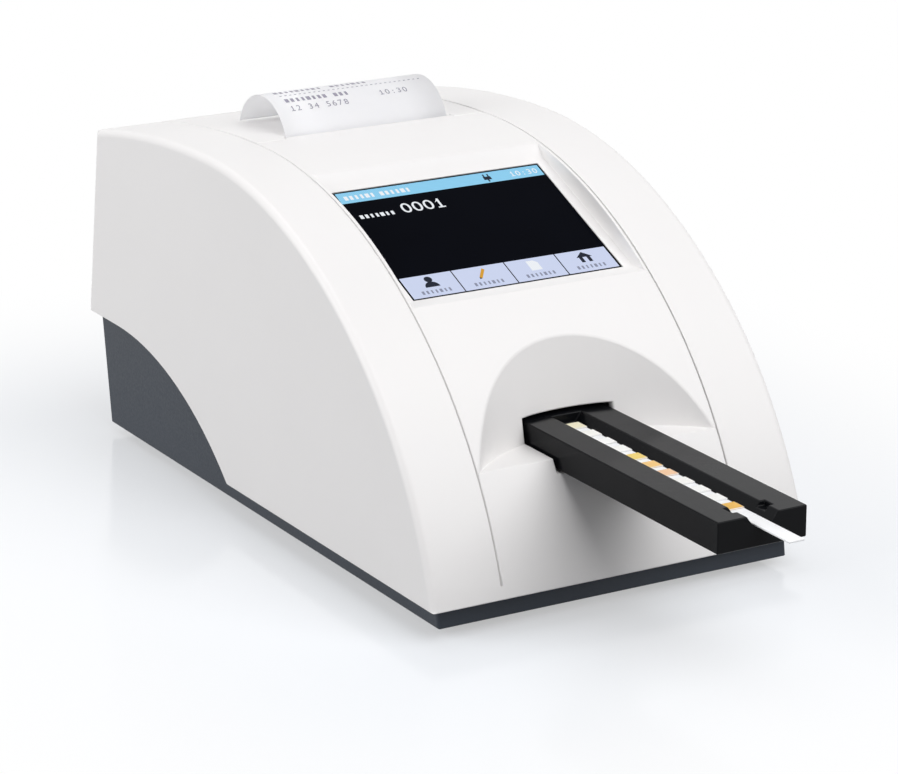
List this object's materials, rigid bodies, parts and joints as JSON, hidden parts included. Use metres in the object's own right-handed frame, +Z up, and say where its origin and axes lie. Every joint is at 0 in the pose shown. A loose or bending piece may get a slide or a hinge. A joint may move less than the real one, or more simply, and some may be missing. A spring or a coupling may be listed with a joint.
{
  "type": "urine analyzer",
  "caption": "Bench-top urine strip analyzer: touch screen, thermal printer under a hinged lid, and a motor-driven tray that carries a test strip in and out.",
  "frame": {"origin": "on the table, under the middle of the whole object's box with the tray and its strip out", "axes": "+Z up; +X to the right when facing the screen; -Y to the front, the way the tray comes out"},
  "size_m": [0.1278, 0.3082, 0.12],
  "materials": {
    "white_abs": "fine satin moulding texture",
    "slate_abs": "fine satin moulding texture",
    "black_abs": "semi-gloss moulding",
    "black_nylon": "matt moulding",
    "soft_rubber": "matt",
    "zinc_steel": "zinc plated",
    "aluminium_sheet": "bead blasted",
    "screen_glass": "black printed border, polished",
    "window_glass": "clear",
    "circuit_board": "solder resist",
    "printed_ceramic": "glazed line of dots",
    "thermal_paper": "coated",
    "core_card": "plain",
    "ivory_acetal": "moulded",
    "brass_gear": "machined",
    "strip_film": "white film",
    "reagent_paper": "impregnated, different tint on each pad",
    "ribbon_film": "flat cable film"
  },
  "bodies": {
    "housing": {"base_tub": "slate_abs", "rubber_feet": "soft_rubber", "housing_screws": "zinc_steel", "chassis_screws": "zinc_steel", "top_cover": "white_abs", "front_panel": "white_abs", "lid_hinge_pin": "zinc_steel", "tear_bar": "zinc_steel", "printer_frame": "black_nylon", "printer_screws": "zinc_steel", "print_head": "printed_ceramic", "head_heatsink": "aluminium_sheet", "printer_motor": "zinc_steel", "roll_spindle": "black_nylon", "touch_glass": "screen_glass", "display_module": "black_nylon", "display_bracket": "zinc_steel", "display_screws": "zinc_steel", "main_board": "circuit_board", "board_parts": "black_nylon", "board_screws": "zinc_steel", "power_jack": "black_nylon", "usb_port": "zinc_steel", "serial_port": "zinc_steel", "switch_body": "black_nylon", "tray_chassis": "aluminium_sheet", "tray_motor": "zinc_steel", "optical_head": "black_nylon", "sensor_window": "window_glass", "sensor_board": "circuit_board", "tray_sensor": "black_nylon", "display_ribbon": "ribbon_film", "printer_ribbon": "ribbon_film"},
    "tray": {"strip_tray": "black_abs", "tray_rack": "ivory_acetal", "test_strip": "strip_film", "reagent_pads": "reagent_paper"},
    "pinion": {"tray_pinion": "brass_gear"},
    "lid": {"printer_lid": "white_abs", "paper_tail": "thermal_paper"},
    "platen": {"platen_roller": "soft_rubber", "platen_shaft": "zinc_steel", "platen_gear": "ivory_acetal"},
    "drive": {"printer_drive_gear": "ivory_acetal"},
    "paper_supply": {"paper_roll": "thermal_paper", "roll_core": "core_card"},
    "rocker": {"power_rocker": "black_abs"}
  },
  "joints": [
    {"name": "tray_slide", "type": "slide", "parent": "housing", "child": "tray", "axis": [0, 1, 0], "range_m": [0, 0.1]},
    {"name": "pinion_spin", "type": "hinge", "parent": "housing", "child": "pinion", "pos_m": [0, -0.01096, 0.034], "axis": [1, 0, 0], "range_deg": [-840, 45]},
    {"name": "lid_hinge", "type": "hinge", "parent": "housing", "child": "lid", "pos_m": [0, 0.14329, 0.09961], "axis": [-1, 0, 0], "range_deg": [0, 75]},
    {"name": "paper_roll_spin", "type": "hinge", "parent": "housing", "child": "paper_supply", "pos_m": [0, 0.11464, 0.0805], "axis": [1, 0, 0], "continuous": true},
    {"name": "platen_spin", "type": "hinge", "parent": "lid", "child": "platen", "pos_m": [0, 0.0837, 0.1], "axis": [1, 0, 0], "continuous": true},
    {"name": "drive_gear_spin", "type": "hinge", "parent": "housing", "child": "drive", "pos_m": [0, 0.0837, 0.08895], "axis": [1, 0, 0], "continuous": true},
    {"name": "rocker_tilt", "type": "hinge", "parent": "housing", "child": "rocker", "pos_m": [-0.048, 0.14825, 0.02521], "axis": [1, 0, 0], "range_deg": [0, 16]}
  ],
  "couplings": [
    {"joint": "pinion_spin", "follows": "tray_slide", "rad_per_m": -138.89},
    {"joint": "platen_spin", "follows": "paper_roll_spin", "ratio": 5},
    {"joint": "drive_gear_spin", "follows": "paper_roll_spin", "ratio": -6}
  ]
}
